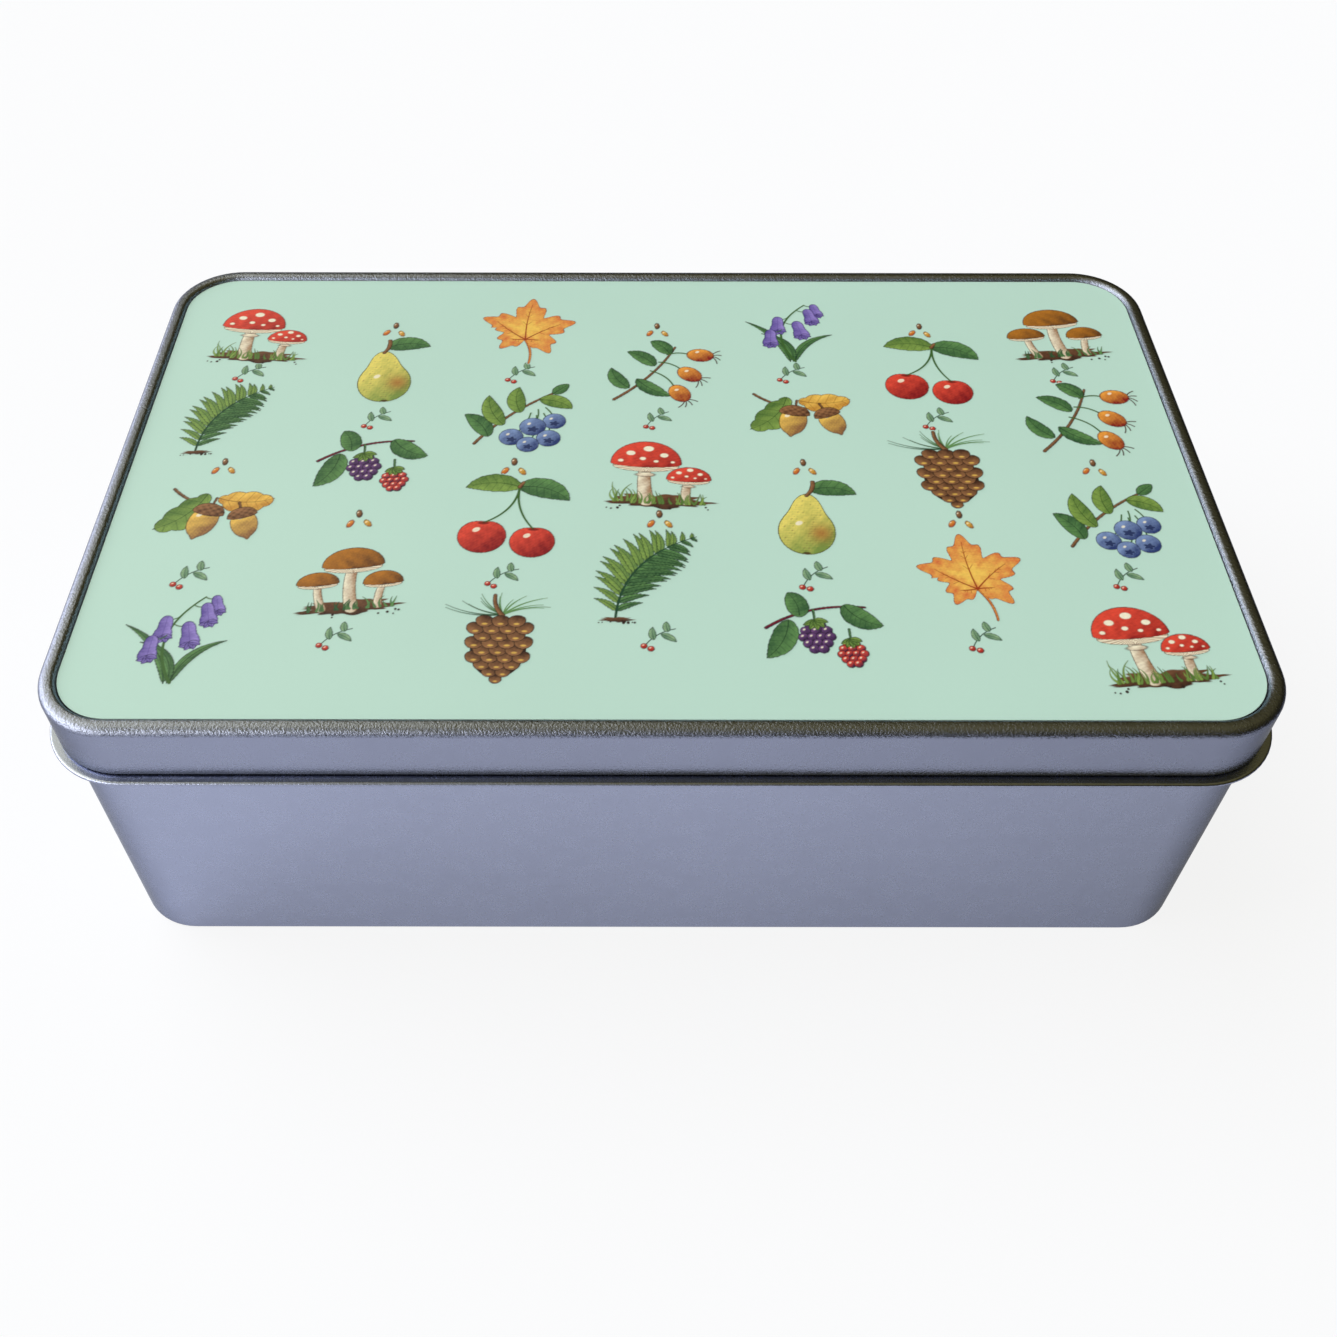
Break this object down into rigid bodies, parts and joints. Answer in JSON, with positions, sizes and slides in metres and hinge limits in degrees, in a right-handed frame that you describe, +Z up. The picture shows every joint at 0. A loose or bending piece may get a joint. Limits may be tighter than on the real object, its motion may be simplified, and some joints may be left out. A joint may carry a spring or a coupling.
{
  "type": "storage tin",
  "caption": "Rectangular tinplate storage tin with rounded corners, a stop bead round the body and a lift-off slip lid whose raised rim frames a printed insert plate.",
  "frame": {"origin": "on the floor under the middle of the tin", "axes": "+Z up, +X along the length to the right, -Y towards the front"},
  "size_m": [0.203, 0.1254, 0.0631],
  "materials": {
    "tinplate": "satin, finely grained",
    "adhesive": "matt",
    "printed_plate": "satin print"
  },
  "bodies": {
    "tin_body": {"body_wall": "tinplate", "base_plate": "tinplate"},
    "lid": {"lid_shell": "tinplate", "adhesive_sheet": "adhesive", "insert_plate": "printed_plate"}
  },
  "joints": [
    {"name": "lid_lift", "type": "slide", "parent": "tin_body", "child": "lid", "axis": [0, 0, 1], "range_m": [0, 0.1]}
  ]
}
